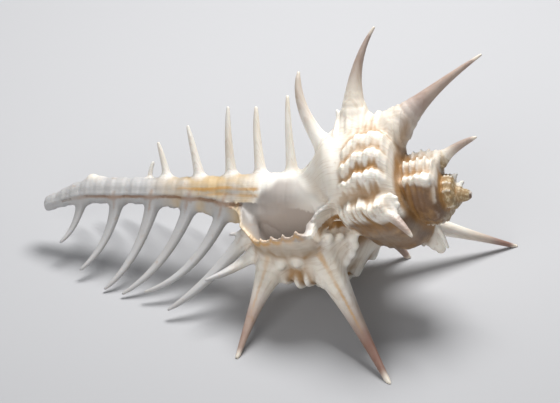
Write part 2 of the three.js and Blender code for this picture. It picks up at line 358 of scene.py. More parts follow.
def slope_of(wall):
    along, round_axis = np.gradient(wall, WALLS_STEP, math.radians(WALLS_ANGLE_STEP))
    return np.sqrt(1 + along ** 2 + (round_axis / np.maximum(wall, 1.5)) ** 2)


def lip_edge(station):
    """Degrees behind the lip angle at which the lip ends, teeth reaching forward."""
    turn = 2 * np.pi * (station - TOOTH_PLACE)
    tooth = (0.5 + 0.5 * np.cos(turn / TOOTH_SPACING)) ** 3
    small = 0.5 + 0.5 * np.cos(3 * turn / TOOTH_SPACING)
    recede = np.interp(station, LIP_STATIONS, LIP_RECEDES) + 27 * smooth_step(station, -5, 4)
    return recede - TOOTH_LENGTH * tooth - SMALL_TOOTH_LENGTH * small


station_grid, back_grid = np.meshgrid(STATIONS, BACKS, indexing="ij")
age_grid = back_grid / 360 + LIP_EDGE_AGE
last_wall = carved_wall(station_grid, age_grid)
lip_flare = LIP_FLARE * smooth_step(last_wall, 6, 12) + LEFT_FLARE * hump(station_grid, LEFT_FLARE_PLACE, 3)
lip_flare *= 1 - smooth_step(back_grid, -4, 24)
last_wall += lip_flare
older_wall = canal_wall(station_grid, angle_of(back_grid))
for turns in OLDER_TURNS:
    older_wall = -smooth_min(-older_wall, -carved_wall(station_grid, age_grid + turns), SUTURE_FILLET)
hollow_wall = plain_wall(station_grid, age_grid) + lip_flare
last_slope = slope_of(last_wall)
older_slope = slope_of(older_wall)
hollow_slope = slope_of(hollow_wall)


def read(table, station, back):
    """The value of a wall table at any place, read between its four nearest entries."""
    i = np.clip((station - STATIONS[0]) / WALLS_STEP, 0, len(STATIONS) - 1.001)
    j = np.clip((back - BACKS[0]) / WALLS_ANGLE_STEP, 0, len(BACKS) - 1.001)
    row, column = i.astype(int), j.astype(int)
    di, dj = i - row, j - column
    near = table[row, column] * (1 - dj) + table[row, column + 1] * dj
    far = table[row + 1, column] * (1 - dj) + table[row + 1, column + 1] * dj
    return near * (1 - di) + far * di


def round_axis(points):
    """Station, radius and degrees back from the lip edge, 0 to 360."""
    station = points[:, 0]
    height = points[:, 2] - axis_height(station)
    theta = np.degrees(np.arctan2(points[:, 1], -height))
    return station, np.hypot(points[:, 1], height), (theta - LIP_EDGE_ANGLE) % 360


def lip_thickness(back):
    closing = HOLLOW_CLOSES * smooth_step(back, 110, HOLLOW_END - 4) ** 2
    return LIP_EDGE_THICKNESS + LIP_THICKENS * smooth_step(back, 0, 30) + closing


def lip_field(station, radius, back):
    """Signed distance to the part of the last turn that is hollow and ends in the lip."""
    outside = (radius - read(last_wall, station, back)) / read(last_slope, station, back)
    roof = (radius - read(hollow_wall, station, back)) / read(hollow_slope, station, back)
    roof = roof + lip_thickness(back)
    floor = read(older_wall, station, np.maximum(back, 0)) + HOLLOW_FLOOR_GAP - radius
    ceiling = station - shoulder_station(back / 360 + LIP_EDGE_AGE) + HOLLOW_UNDER_SHOULDER
    hollow = -smooth_min(-np.maximum(roof, floor), -ceiling, HOLLOW_FILLET)
    beyond = radius * np.radians(lip_edge(station) - back)
    return np.maximum(np.maximum(outside, beyond), -hollow)


def plate_field(points, station, radius, back):
    """Signed distance to the smooth plate behind the mouth."""
    under = np.clip((2 - points[:, 2]) / 14, 0, 2)
    over = np.clip((points[:, 2] + 3) / 9, 0, 2)
    sunk = smooth_step(-station, 18, 29)
    dish = PLATE_FRONT - PLATE_SWELL * smooth_step(station, -15, -2) + PLATE_SINK * sunk
    dish = dish + PLATE_UNDERCUT * under ** 2 + PLATE_OVERCUT * over ** 2
    front = (dish - points[:, 1]) / (1 + 0.3 * under)
    through = np.maximum(front, -front - PLATE_THICKNESS)
    upright = np.maximum(PLATE_LOW - points[:, 2], points[:, 2] - PLATE_HIGH + PLATE_TOP_SINK * sunk)
    lengthwise = np.maximum(station - PLATE_TO, PLATE_FROM - station)
    box = np.maximum(np.maximum(through, upright), lengthwise)
    within = (radius - read(last_wall, station, back)) / read(last_slope, station, back) + PLATE_INSIDE_WALL
    return np.where(back < HOLLOW_END, -smooth_min(-box, -within, PLATE_FILLET), box)


def flange_field(station, radius, back):
    """Signed distance to the flange, a leaning wall from its scalloped crest down towards the axis."""
    theta = angle_of(back)
    scallop = FLANGE_SCALLOP * np.abs(np.sin(np.pi * theta / FLANGE_SCALLOP_ANGLE))
    crest_station = np.interp(theta, FLANGE_ANGLES, FLANGE_STATIONS)
    crest_radius = np.interp(theta, FLANGE_ANGLES, FLANGE_RADII) + scallop - FLANGE_SCALLOP_SINK
    drop = FLANGE_ROOT_RADIUS - crest_radius
    ahead, out = station - crest_station, radius - crest_radius
    part = np.clip((ahead * FLANGE_LEAN + out * drop) / (FLANGE_LEAN ** 2 + drop ** 2), 0, 1)
    off = np.hypot(ahead - part * FLANGE_LEAN, out - part * drop)
    behind = ahead > part * FLANGE_LEAN
    foot = np.where(behind, FLANGE_FOOT_BEHIND, FLANGE_FOOT_AHEAD) * part
    foot = foot * (1 - FLANGE_FOOT_FADES * smooth_step(theta, -64, -50))
    thickness = FLANGE_HALF_THICKNESS * (1 + foot)
    past_end = np.maximum(FLANGE_ANGLES[0] - theta, theta - FLANGE_ANGLES[-1])
    beside = (off - thickness) * FLANGE_STEEPNESS
    return -smooth_min(-beside, -radius * np.radians(past_end), FLANGE_END_FILLET)


# The spines. Each varix is drawn out into grooved spines of the same shell: a lip row and a back row that
# it stands on, a side row that points up, stubs on the spire and small lobes that frill the lip.
# Each is a root, a middle and a tip, right, up and front of the body's middle, and a width at root and tip.
LIP_SPINES = (
    ((-6.0, -17.8, 6), (3.4, -35.6, 15), (12.4, -53, 24.9), 6.6, 1.5),
    ((-19.8, -18.5, 1), (-25.2, -31.6, 7.6), (-30.4, -46.2, 14.4), 6.0, 1.2),
    ((-25.2, -16.5, -0.5), (-32.2, -21, 2), (-38.9, -23.8, 5), 3.2, 0.8),
    ((-27.2, -11.5, -3.2), (-38.6, -23.8, -2.2), (-49.4, -32.1, -1), 3.8, 0.8),
    ((-33, -2.5, -10.5), (-42.6, -18.8, -9), (-56, -27.2, -8), 3.4, 0.8),
    ((-42.8, -1.2, -14.5), (-50.7, -17.1, -12.6), (-62.3, -27.7, -11), 3.3, 0.8),
    ((-53.6, -1.2, -18.4), (-59, -16, -15.8), (-67.3, -26.3, -13.5), 3.2, 0.8),
    ((-64, -1.2, -22.1), (-67.5, -12.6, -20), (-74.2, -20.9, -18), 2.9, 0.8),
    ((-74, -1.5, -25.7), (-76.2, -8.4, -24.4), (-79.9, -13.2, -23), 2.2, 0.8),
    ((-27.6, -10.2, -3), (-30, -10.8, -3), (-32.2, -11, -3), 1.4, 0.8),
)
BACK_SPINES = (
    ((14.4, -6, -16.8), (34.4, -11, -26.6), (49.3, -14.7, -34.1), 5.2, 1.0),
    ((7, -8, -20.5), (13.4, -12.6, -25.2), (18.2, -18, -29), 4.6, 1.6),
    ((-7.8, -6.2, -19.6), (-11.6, -9, -28.2), (-16.8, -14.2, -34.9), 4.4, 1.4),
    ((-19, 0, -12), (-24.4, 0.4, -26), (-33, -1, -37), 3.6, 0.8),
    ((-31, 1, -13), (-34.6, 1, -27.6), (-43, 0, -39), 3.3, 0.8),
    ((-40, 1.2, -16.2), (-44, 1.2, -30.4), (-53, 0, -41.5), 3.1, 0.8),
    ((-49.5, 1.2, -19.6), (-53, 1.2, -33), (-61, 0, -43), 3.0, 0.8),
    ((-59, 1.2, -23), (-61.6, 1.2, -33.4), (-67.5, 0, -41.5), 2.7, 0.8),
    ((-68, 1, -26.3), (-69.6, 0.8, -33.6), (-73.5, 0, -39), 2.2, 0.8),
)
SIDE_SPINES = (
    ((14.5, 19.5, 6.5), (25.2, 29.6, 9.6), (37.8, 39.1, 12), 5.8, 0.8),
    ((2.8, 20, 3), (3.2, 34.6, 4.4), (8, 46.8, 6), 5.2, 0.8),
    ((-5.6, 13.5, -1), (-11.8, 24.4, -1), (-13, 34.3, -1), 4.2, 0.8),
    ((-14.6, 4.5, -5.2), (-15.7, 17, -5.2), (-16.1, 27.7, -5.2), 2.8, 0.8),
    ((-23.2, 3.5, -8.4), (-24.5, 14.8, -8.4), (-24.9, 24.4, -8.4), 3.0, 1.0),
    ((-31.5, 3.2, -11.5), (-32.6, 14.8, -11.5), (-32.8, 24.5, -11.5), 2.8, 0.8),
    ((-40.2, 3, -14.6), (-42.3, 12, -14.9), (-44.1, 19.3, -15.2), 2.7, 0.8),
    ((-49.5, 3, -18), (-50.9, 9.4, -18.2), (-52.4, 14.6, -18.4), 2.3, 0.8),
    ((-54.9, 3.3, -20), (-54.6, 6.6, -20), (-53.8, 9.2, -20), 1.5, 0.8),
    ((-1.2, 20.6, 2), (-1.8, 22.2, 2), (-2.2, 23.6, 2), 1.6, 0.8),
    ((-68.6, 2.6, -25), (-69.8, 3.7, -25.4), (-70.9, 4.8, -25.8), 3.2, 2.2),
)
SPIRE_SPINES = (
    ((10.6, -4.2, 20), (14.5, -7.3, 24.8), (18.5, -11.5, 27.5), 3.8, 0.8),
    ((23.2, -10.2, 0.5), (25.2, -12.6, 0.2), (26.9, -15, 0), 3.8, 2.8),
    ((25, -7, 3), (27, -10.8, 3), (28.8, -14.6, 3), 1.6, 0.8),
    ((26.6, 9.8, 9.5), (31.2, 13.4, 11.2), (36.4, 16.1, 13), 3.4, 0.8),
    ((29.4, 3.6, 10), (30.4, 4.8, 10), (31.1, 5.8, 10), 1.2, 0.8),
    ((31, 2.4, 11), (31.9, 3.0, 11), (32.8, 3.6, 11), 1.4, 1.0),
    ((10.0, -2.2, 20.6), (11.2, -1.0, 21.6), (12.4, -0.2, 22), 1.9, 1.8),
    ((10.0, -2.2, 20.6), (12.0, -1.5, 21.8), (13.8, -1.0, 22.2), 1.9, 1.8),
    ((10.0, -2.2, 20.6), (12.4, -2.4, 21.9), (14.4, -2.8, 22.4), 1.9, 1.8),
    ((10.0, -2.2, 20.6), (12.2, -3.2, 22), (13.8, -4.6, 22.6), 1.9, 1.8),
    ((19.6, 4.5, 17.2), (21.2, 4.3, 18), (22.4, 4.0, 18.2), 1.9, 2.2),
)
LIP_FRILLS = (
    ((-5.5, -12.8, 10.0), (-4.8, -12.2, 11.0), (-4.2, -11.6, 11.8), 2.6, 2.0),
    ((-2.6, -12.6, 8.0), (-1.9, -12.0, 9.1), (-1.2, -11.4, 10.0), 2.6, 2.0),
    ((0.2, -12.4, 6.6), (1.4, -12.1, 7.5), (2.6, -11.8, 8.2), 2.8, 2.0),
    ((0.2, -14.0, 6.4), (1.6, -14.1, 7.2), (2.9, -14.2, 7.8), 2.8, 2.0),
    ((-0.6, -15.8, 6.6), (0.8, -16.2, 7.4), (2.0, -16.6, 8.0), 2.8, 2.0),
    ((-1.6, -17.2, 7.0), (-0.6, -17.9, 7.8), (0.4, -18.6, 8.4), 2.6, 2.0),
    ((-17.9, -18.6, 5.2), (-17.9, -19.1, 6.0), (-17.9, -19.6, 6.8), 2.8, 2.4),
    ((-13.4, -18.0, 7.6), (-13.4, -18.6, 8.6), (-13.5, -19.2, 9.6), 2.8, 2.4),
)
SPINES = LIP_SPINES + BACK_SPINES + SIDE_SPINES + SPIRE_SPINES + LIP_FRILLS
FIRST_SIDE_SPINE = len(LIP_SPINES + BACK_SPINES)
STAINED_SPINES = {0: 0.95, 1: 0.85, 10: 0.9, 11: 0.85, 12: 0.5, 19: 0.72, 20: 0.68, 21: 0.32,
                  30: 0.7, 33: 0.7}
STAIN_STARTS = {0: 0.2, 1: 0.2, 10: 0.35, 19: -0.12, 33: 0.1}
STAIN_STARTS_AT = 0.15
STAIN_SPREAD = 0.5
SPINE_STEPS = 13
STOUT_WIDTH = 4.5
SLIGHT_WIDTH = 2.0
# How fast a spine narrows, how far its foot spreads, how fast the foot dies out, and how softly it joins on.
STOUT_SHAPE = (1.1, 4.5, 4, 2.6)
COMMON_SHAPE = (0.65, 1.6, 6, 1.9)
SLIGHT_SHAPE = (0.65, 0.0, 6, 0.9)
GROOVE_LINES = {0: 0.75, 1: 0.5, 3: 0.3, 4: 0.7, 5: 0.7, 6: 0.7, 7: 0.5, 19: 0.5}
GROOVE_SHARE = 0.16


def along_axis(view_points):
    """Points given as right, up and front, in the shell's own frame: along the axis, away and up."""
    right, up, front = np.asarray(view_points, float).T
    swing_sin, swing_cos = math.sin(SWING_AWAY), math.cos(SWING_AWAY)
    along, away = right * swing_cos + front * swing_sin, right * swing_sin - front * swing_cos
    return np.column_stack((along, away, up))


spines = []
for root, middle, tip, root_width, tip_width in SPINES:
    a, b, c = along_axis((root, middle, tip))
    bend = 2 * b - (a + c) / 2
    share = np.linspace(0, 1, SPINE_STEPS)[:, None]
    path = (1 - share) ** 2 * a + 2 * share * (1 - share) * bend + share ** 2 * c
    left = 1 - share[:, 0]
    shape = STOUT_SHAPE if root_width > STOUT_WIDTH else COMMON_SHAPE
    taper, foot, foot_taper, blend = SLIGHT_SHAPE if root_width <= SLIGHT_WIDTH else shape
    half = (tip_width + (root_width - tip_width) * left ** taper + foot * left ** foot_taper) / 2
    theta = math.atan2(a[1], -(a[2] - axis_height(a[0])))
    forward = np.array((0.0, -math.cos(theta), -math.sin(theta)))
    spines.append((path, half, forward, blend))


def near_spine(points, path, half, margin):
    low = path.min(0) - half[0] - margin
    high = path.max(0) + half[0] + margin
    return np.flatnonzero(((points > low) & (points < high)).all(1))


def spine_reach(points, path, half, forward):
    """Signed distance to one spine, how far along it a point lies, and how squarely it faces the groove."""
    best = np.full(len(points), 1e9)
    best_share = np.zeros(len(points))
    best_facing = np.zeros(len(points))
    for step in range(SPINE_STEPS - 1):
        start, run = path[step], path[step + 1] - path[step]
        offset = points - start
        part = np.clip(offset @ run / (run @ run), 0, 1)
        away = offset - part[:, None] * run
        distance = np.linalg.norm(away, axis=1)
        side = forward - run * (forward @ run) / (run @ run)
        square = away - (away @ run)[:, None] * run / (run @ run)
        facing = square @ side / (np.linalg.norm(side) * np.maximum(np.linalg.norm(square, axis=1), 1e-6))
        share = (step + part) / (SPINE_STEPS - 1)
        groove = smooth_step(facing, 0.8, 1) * band(share, 0.02, 0.12, 0.6, 0.9)
        width = half[step] + part * (half[step + 1] - half[step])
        reach = distance - width * (1 - GROOVE_SHARE * groove)
        nearer = reach < best
        best = np.where(nearer, reach, best)
        best_share = np.where(nearer, share, best_share)
        best_facing = np.where(nearer, facing, best_facing)
    return best, best_share, best_facing


# The whole shell. It grew as one piece, so whorls, canal, mouth and spines are one signed distance, joined
# with small fillets and closed at the apex by the first turn. Five spine tips are cut flat at the floor.
FIRST_TURN = 35.6
FIRST_TURN_RADIUS = 1.75
PLATE_JOIN = 4.4
SEAM_FILLET = 0.8
MOUTH_FILLET = 1.8
CORNER_FILLET = 3.0
FLANGE_FILLET = 2.2
TO_WORLD = np.column_stack((
    math.cos(SWING_AWAY) * RIGHT + math.sin(SWING_AWAY) * FRONT,
    math.sin(SWING_AWAY) * RIGHT - math.cos(SWING_AWAY) * FRONT,
    UP,
))


def shell_field(points):
    station, radius, back = round_axis(points)
    older = (radius - read(older_wall, station, back)) / read(older_slope, station, back)
    older = smooth_min(older, plate_field(points, station, radius, back), PLATE_JOIN)
    distance = np.empty(len(points))
    early = back < HOLLOW_END
    distance[early] = lip_field(station[early], radius[early], back[early])
    late = ~early
    distance[late] = ((radius[late] - read(last_wall, station[late], back[late]))
                      / read(last_slope, station[late], back[late]))
    over = back > 360 - LIP_OVERHANG
    overhang = lip_field(station[over], radius[over], back[over] - 360)
    distance[over] = np.minimum(distance[over], overhang)
    in_mouth = 1 - smooth_step(back, 120, 180) + smooth_step(back, 250, 315)
    fillet = MOUTH_FILLET * in_mouth * (1 - smooth_step(station, -4, 3))
    corner = CORNER_FILLET * band(-station, 15, 20, 25, 29) * band(back, 4, 20, 70, 130)
    distance = smooth_min(distance, older, SEAM_FILLET + fillet + corner)
    first_turn = np.hypot(station - FIRST_TURN, radius) - FIRST_TURN_RADIUS
    distance = smooth_min(distance, first_turn, SEAM_FILLET)
    ends = np.maximum(CANAL_END - station, station - APEX - 0.1)
    distance = np.maximum(distance, ends)
    distance = smooth_min(distance, flange_field(station, radius, back), FLANGE_FILLET)
    distance = np.maximum(distance, -slit_field(station, radius, back))
    for path, half, forward, blend in spines:
        near = near_spine(points, path, half, margin=4)
        if len(near):
            reach = spine_reach(points[near], path, half, forward)[0]
            distance[near] = smooth_min(distance[near], reach, blend)
    height = points @ TO_WORLD[2] + BODY_CENTRE[2]
    return np.maximum(distance, -height)


# The surface. The distance is measured coarsely everywhere and finely near the shell, then skinned where it
# is zero. Each point of the skin is drawn onto the true surface, and loose specks are taken away.
VOXEL = 0.42
BLOCK = 4
NEAR_SURFACE = 2.2
FAR_VALUE = 3.0
MOST_TRIANGLES = 196000
CHUNK = 400000
SPINE_MARGIN = 5
BODY_MARGIN = 4
BODY_HALF = 32

spine_places = np.concatenate([spine[0] for spine in spines])
reach_low = np.minimum(spine_places.min(0) - SPINE_MARGIN, (CANAL_END - BODY_MARGIN, -BODY_HALF, -BODY_HALF))
reach_high = np.maximum(spine_places.max(0) + SPINE_MARGIN, (APEX + BODY_MARGIN, BODY_HALF, BODY_HALF))
blocks = np.ceil((reach_high - reach_low) / (VOXEL * BLOCK)).astype(int)


def measured(points):
    return np.concatenate([shell_field(points[at:at + CHUNK]) for at in range(0, len(points), CHUNK)])


block_index = np.indices(blocks).reshape(3, -1).T
block_centre = reach_low + (block_index * BLOCK + (BLOCK - 1) / 2) * VOXEL
coarse = measured(block_centre)
near_blocks = block_index[np.abs(coarse) < NEAR_SURFACE]
values = np.clip(coarse, -FAR_VALUE, FAR_VALUE).reshape(blocks)
for axis in range(3):
    values = np.repeat(values, BLOCK, axis)
inside_block = np.indices((BLOCK,) * 3).reshape(3, -1).T
fine_index = (near_blocks[:, None, :] * BLOCK + inside_block[None]).reshape(-1, 3)
fine_values = measured(reach_low + fine_index * VOXEL)
values[tuple(fine_index.T)] = np.clip(fine_values, -FAR_VALUE, FAR_VALUE)
volume = openvdb.FloatGrid(FAR_VALUE)
volume.copyFromArray(values.astype(np.float32))
skin_points, skin_quads = volume.convertToQuads(0.0)
skin_points = reach_low + skin_points.astype(float) * VOXEL

PROBE = 0.08
PULLS = 2
LONGEST_PULL = 0.3
LEAST_SLOPE_SQUARED = 0.2
for pull in range(PULLS):
    here = measured(skin_points)
    there = [measured(skin_points + PROBE * direction) for direction in np.eye(3)]
    slope = (np.column_stack(there) - here[:, None]) / PROBE
    move = slope * (here / np.maximum((slope ** 2).sum(1), LEAST_SLOPE_SQUARED))[:, None]
    length = np.linalg.norm(move, axis=1)
    skin_points -= move * np.minimum(1, LONGEST_PULL / np.maximum(length, 1e-6))[:, None]

rough = bpy.data.meshes.new("rough")
rough.from_pydata(skin_points.tolist(), [], skin_quads.tolist())
work = bmesh.new()
work.from_mesh(rough)
unseen = set(work.verts)
islands = []
while unseen:
    island = {unseen.pop()}
    edge_of_island = list(island)
    while edge_of_island:
        vertex = edge_of_island.pop()
        for edge in vertex.link_edges:
            other = edge.other_vert(vertex)
            if other in unseen:
                unseen.discard(other)
                island.add(other)
                edge_of_island.append(other)
    islands.append(island)
islands.sort(key=len)
strays = [vertex for island in islands[:-1] for vertex in island]
bmesh.ops.delete(work, geom=strays, context="VERTS")
bmesh.ops.triangulate(work, faces=work.faces[:])
triangles = len(work.faces)
work.to_mesh(rough)
work.free()

carrier = bpy.data.objects.new("carrier", rough)
bpy.context.scene.collection.objects.link(carrier)
if triangles > MOST_TRIANGLES:
    thin = carrier.modifiers.new("thin", "DECIMATE")
    thin.ratio = MOST_TRIANGLES / triangles
evaluated = carrier.evaluated_get(bpy.context.evaluated_depsgraph_get())
shell_mesh = bpy.data.meshes.new_from_object(evaluated)
bpy.data.objects.remove(carrier)
shell_mesh.name = "shell"

# The markings. What a place on the shell is decides its colour: ridge or hollow, spine or stained tip,
# glaze, spire, lip edge, slit or streak. Colour is laid down with the shell, so it follows the growth.
# Painted shade and light are decided here too: shade in hollows, furrows, the lip face, the canal and the
# mouth's left rim, light on the mouth's upper right.


def values_of(parts, name, width, kind):
    values = np.empty(len(parts) * width, kind)
    parts.foreach_get(name, values)
    return values.reshape(-1, width)


count = len(shell_mesh.vertices)
place = values_of(shell_mesh.vertices, "co", 3, float)
facing = values_of(shell_mesh.vertices, "normal", 3, float)
ends = values_of(shell_mesh.edges, "vertices", 2, int)
links = np.bincount(ends.ravel(), minlength=count)
RELIEF_PASSES = 30
averaged = place.copy()
for smoothing in range(RELIEF_PASSES):
    total = np.zeros_like(averaged)
    for axis in range(3):
        total[:, axis] = (np.bincount(ends[:, 0], averaged[ends[:, 1], axis], count)
                          + np.bincount(ends[:, 1], averaged[ends[:, 0], axis], count))
    averaged = total / links[:, None]
relief = ((place - averaged) * facing).sum(1)

station, radius, back = round_axis(place)
age = back / 360 + LIP_EDGE_AGE
outer = read(last_wall, station, back)
older = read(older_wall, station, back)
on_older = np.abs(radius - older) < np.abs(radius - outer)
spine_share, spine_stain, spine_tint, spine_groove = np.zeros((4, count))
spine_cover, spine_near, side_spine = np.zeros((3, count))
for number, (path, half, forward, blend) in enumerate(spines):
    near = near_spine(place, path, half, margin=2)
    reach, share, facing_out = spine_reach(place[near], path, half, forward)
    cover = 1 - smooth_step(reach, 0.2, 1.4)
    spine_near[near] = np.maximum(spine_near[near], 1 - smooth_step(reach, 1.0, 2.0))
    better = cover > spine_cover[near]
    chosen = near[better]
    spine_cover[chosen] = cover[better]
    spine_share[chosen] = share[better]
    stain = STAINED_SPINES.get(number, 0.0)
    start = STAIN_STARTS.get(number, STAIN_STARTS_AT)
    spine_stain[chosen] = stain
    spine_tint[chosen] = stain * smooth_step(share[better], start, start + STAIN_SPREAD)
    side_spine[chosen] = 0 <= number - FIRST_SIDE_SPINE < len(SIDE_SPINES)
    spine_groove[chosen] = (smooth_step(facing_out, 0.98, 0.999) * GROOVE_LINES.get(number, 0.0))[better]

GLAZE_RIGHT = (-26, -23.2, -19.6, -15.4, -9.8, -2.8)
GLAZE_UP = (-2.1, 1.6, 4.6, 5.6, 1.0, -4.0)
OLDER_SIDE = 250
LIP_LINE = 1.0
LIP_LINE_SPREAD = 0.8
LIP_FACE = 5.0
LIP_FACE_SPREAD = 3.5
UPPER_STREAK_ANGLE = -97.0
LOWER_STREAK_ANGLE = -75.0
LOWER_STREAK_SHARE = 0.7
GRAIN_PER_TURN = 120

# Where a place lies: right and up of the middle of the body, and on which turn.
theta = angle_of(back)
right = station * math.cos(SWING_AWAY) + place[:, 1] * math.sin(SWING_AWAY)
up = place[:, 2]
beside_mouth = back > OLDER_SIDE
turn_walls = np.array([carved_wall(station, age + turns) for turns in OLDER_TURNS])
surface_age = np.where(on_older, age + 1 + np.argmax(turn_walls, axis=0), age)
below = place_below(station, surface_age, whorl_radius(surface_age))
crest, sculpted = sculpture(station, surface_age)[1:]

# The glaze of the mouth, up to a wavy border on the older turn and no further than the flange.
past_border = up - np.interp(right, GLAZE_RIGHT, GLAZE_UP) - 0.4 * np.sin(right * 1.3)
inside_mouth = smooth_step(outer - radius, 0.8, 3.6) * (back < HOLLOW_END) * (station < 6) * (station > -30)
glaze = (1 - smooth_step(past_border, -2.4, 0.6)) * smooth_step(right, -26.5, -24) * beside_mouth
side = np.where(theta < FLANGE_ANGLES[0], GLAZE_SIDE, np.interp(theta, FLANGE_ANGLES, FLANGE_STATIONS))
glaze = np.maximum(glaze, inside_mouth) * (1 - smooth_step(station - side, -0.4, 1.0))
# Towards the mouth's upper right the glaze is whiter, partly its own white and partly painted light.
paler = smooth_step(right, -18, -8) * smooth_step(up, -9, -2) * beside_mouth
mouth_margin = band(past_border, -2.5, -0.5, 1.5, 3.5) * band(right, -26.5, -24, -14, -8) * beside_mouth

# The lip: a stained line close to its edge, and a band of painted shade on its face behind the line.
lip_back = np.where(back > 360 - LIP_OVERHANG, back - 360, back)
lip_distance = radius * np.radians(lip_back - lip_edge(station))
on_lip = 1 - smooth_step(np.abs(radius - read(last_wall, station, lip_back)), 1.2, 2.0)
lip_line = hump(lip_distance, LIP_LINE, LIP_LINE_SPREAD) * on_lip * band(station, -25.5, -22.5, -7, -4)
lip_face_shade = hump(lip_distance, LIP_FACE, LIP_FACE_SPREAD) * on_lip * (station > -28) * (station < -3)

# The spire, its paler turn and the shoulder of that turn.
spire = smooth_step(surface_age, 0.865, 0.9) * smooth_step(station, 2, 7)
covered = spine_cover * smooth_step(spine_share, 0.02, 0.2)
spire *= 1 - np.maximum(covered, spine_near * (surface_age < SPIRE_AGE))
pale_turn = band(surface_age, SPIRE_AGE, SPIRE_AGE + 0.1, 1.71, 1.78)
shoulder = hump(below, 0.02, 0.07) * band(surface_age, 1.3, 1.4, 2, 2.1)
# Painted shade in the groove at the root of the first side spine.
groove_shade_up = hump(right, 16.6 + 0.25 * (up - 18), 1.5) * hump(up, 17.5, 5) * (back > 180) * (back < 330)

# The canal, its slit and the two stained streaks beside the mouth, and the stained grooves of spines.
# The canal takes painted shade; the upright side spines, which catch the light, are left out of it.
on_side_spine = side_spine * spine_cover * smooth_step(spine_share, 0, 0.1)
canal = smooth_step(-station, 24, 32) * (1 - 0.8 * on_side_spine)
from_slit = theta - slit_angle(station)
across_slit = np.abs(radius * np.sin(np.radians(from_slit)))
in_slit = (1 - smooth_step(across_slit, 0.3, 0.75)) * band(station, -86, -70, -31, -28)
in_slit *= (np.abs(from_slit) < 60) * (np.abs(radius - canal_wall(station, theta)) < 1.6)
wave = 2 * np.sin(station * 0.5)
upper_streak = 1 - smooth_step(np.abs(theta - UPPER_STREAK_ANGLE + wave), 3, 8)
upper_streak *= smooth_step(station, -52, -44)
lower_streak = 1 - smooth_step(np.abs(theta - LOWER_STREAK_ANGLE + wave), 2, 7)
lower_streak *= smooth_step(station, -43, -38) * LOWER_STREAK_SHARE
streak = np.maximum(upper_streak, lower_streak) * (1 - smooth_step(right, -25.5, -23.5)) * (radius < 8)
plain_groove = spine_groove * (1 - smooth_step(spine_share, 0.08, 0.15)) * (spine_stain == 0)
stained_groove = spine_groove * spine_cover * (1 - smooth_step(spine_share, 0.45, 0.65)) * (spine_stain > 0)

markings = {
    "relief": relief,
    "stain": spine_tint * spine_cover,
    "stain_tip": spine_stain * spine_cover * smooth_step(spine_share, 0.88, 0.96),
    "glaze": glaze,
    "pale_glaze_and_light": glaze * paler,
    # Painted shade: the glaze is darkened at the mouth's left rim.
    "left_rim_shade": glaze * (1 - smooth_step(right, -26, -22.5)),
    "pale_turn": pale_turn,
    "shoulder": shoulder,
    "groove_shade_up": groove_shade_up,
    "lip_varix": hump(surface_age, 0, 0.05) * sculpted * (1 - spine_cover) * (station > -26),
    "lip_line": lip_line,
    "spire": spire,
    "tip_of_spire": smooth_step(surface_age, 1.95, 2.1),
    "crest": crest,
    "furrow": (1 - smooth_step(crest, 0.15, 0.7)) * sculpted * (1 - spine_cover),
    "slit": np.maximum(in_slit, plain_groove),
    "streak": np.maximum(streak, stained_groove),
    "canal": canal,
    "golden": smooth_step(station, -60, -45) * (1 - smooth_step(right, -30, -23)) * (1 - spine_cover),
    "smooth": np.maximum(glaze, callus(surface_age, station)),
    "mouth_margin": mouth_margin,
    "lip_face_shade": lip_face_shade * (1 - spine_cover),
    "spine_near": spine_near,
    "mouth_side": smooth_step(back, 200, 230) * (1 - smooth_step(station, 2.5, 5)),
}
for name, marking in markings.items():
    layer = shell_mesh.attributes.new(name, "FLOAT", "POINT")
    layer.data.foreach_set("value", marking.astype(np.float32))
grain = np.column_stack((surface_age * GRAIN_PER_TURN, station, radius))
layer = shell_mesh.attributes.new("grain", "FLOAT_VECTOR", "POINT")
layer.data.foreach_set("vector", grain.astype(np.float32).ravel())

world_place = place @ TO_WORLD.T + BODY_CENTRE
world_place[:, 2] = np.maximum(world_place[:, 2], 0)
shell_mesh.vertices.foreach_set("co", (world_place * MILLIMETRE).ravel())
shell_mesh.polygons.foreach_set("use_smooth", np.ones(len(shell_mesh.polygons), bool))
shell_mesh.update()
shell = bpy.data.objects.new("shell", shell_mesh)
bpy.context.scene.collection.objects.link(shell)
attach(shell, "root")
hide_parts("shell")

# The colours. Shell has no paint: its own layers are ivory on ridges and brown in hollows, tan on the spire,
# purple-brown on spine tips and glazed cream in the mouth, with a dull polish. The canal's grey-white is
# painted shade. Painted shade also darkens the hollows, furrows, spire and lip varix, the lip face, the
# mouth's left rim and partly its glaze, and painted light whitens the mouth's upper right.
IVORY = (0.82, 0.75, 0.645, 1)
WHITE = (0.88, 0.85, 0.79, 1)
BROWN = (0.35, 0.185, 0.06, 1)
TAN = (0.37, 0.215, 0.09, 1)
RUST = (0.17, 0.085, 0.036, 1)
GOLD = (0.30, 0.185, 0.07, 1)
TIP_CREAM = (0.55, 0.43, 0.26, 1)
CANAL_SHADE_GREY = (0.405, 0.404, 0.412, 1)
PURPLE_BROWN = (0.20, 0.083, 0.053, 1)
CREAM = (0.43, 0.385, 0.355, 1)
SHADE_GREY_TAN = (0.38, 0.32, 0.25, 1)
RIM_SHADE_GREY = (0.25, 0.235, 0.22, 1)
ORANGE = (0.62, 0.33, 0.08, 1)
OCHRE = (0.62, 0.43, 0.19, 1)
SLIT_BROWN = (0.36, 0.20, 0.11, 1)
GROWTH_STRETCH = (2.2, 0.16, 0.1)
GRAIN_DEPTH = 0.6 * MILLIMETRE
POLISH = 0.5
GLOW = 0.08
GLOW_DEPTH = 2 * MILLIMETRE
GLOW_REACH = (1.0, 0.6, 0.35)
MIX_AMOUNT, MIX_UNDER, MIX_OVER = 0, 6, 7
MIX_COLOUR = 2

material = bpy.data.materials.new("shell")
material.use_nodes = True
tree = material.node_tree
tree.nodes.clear()


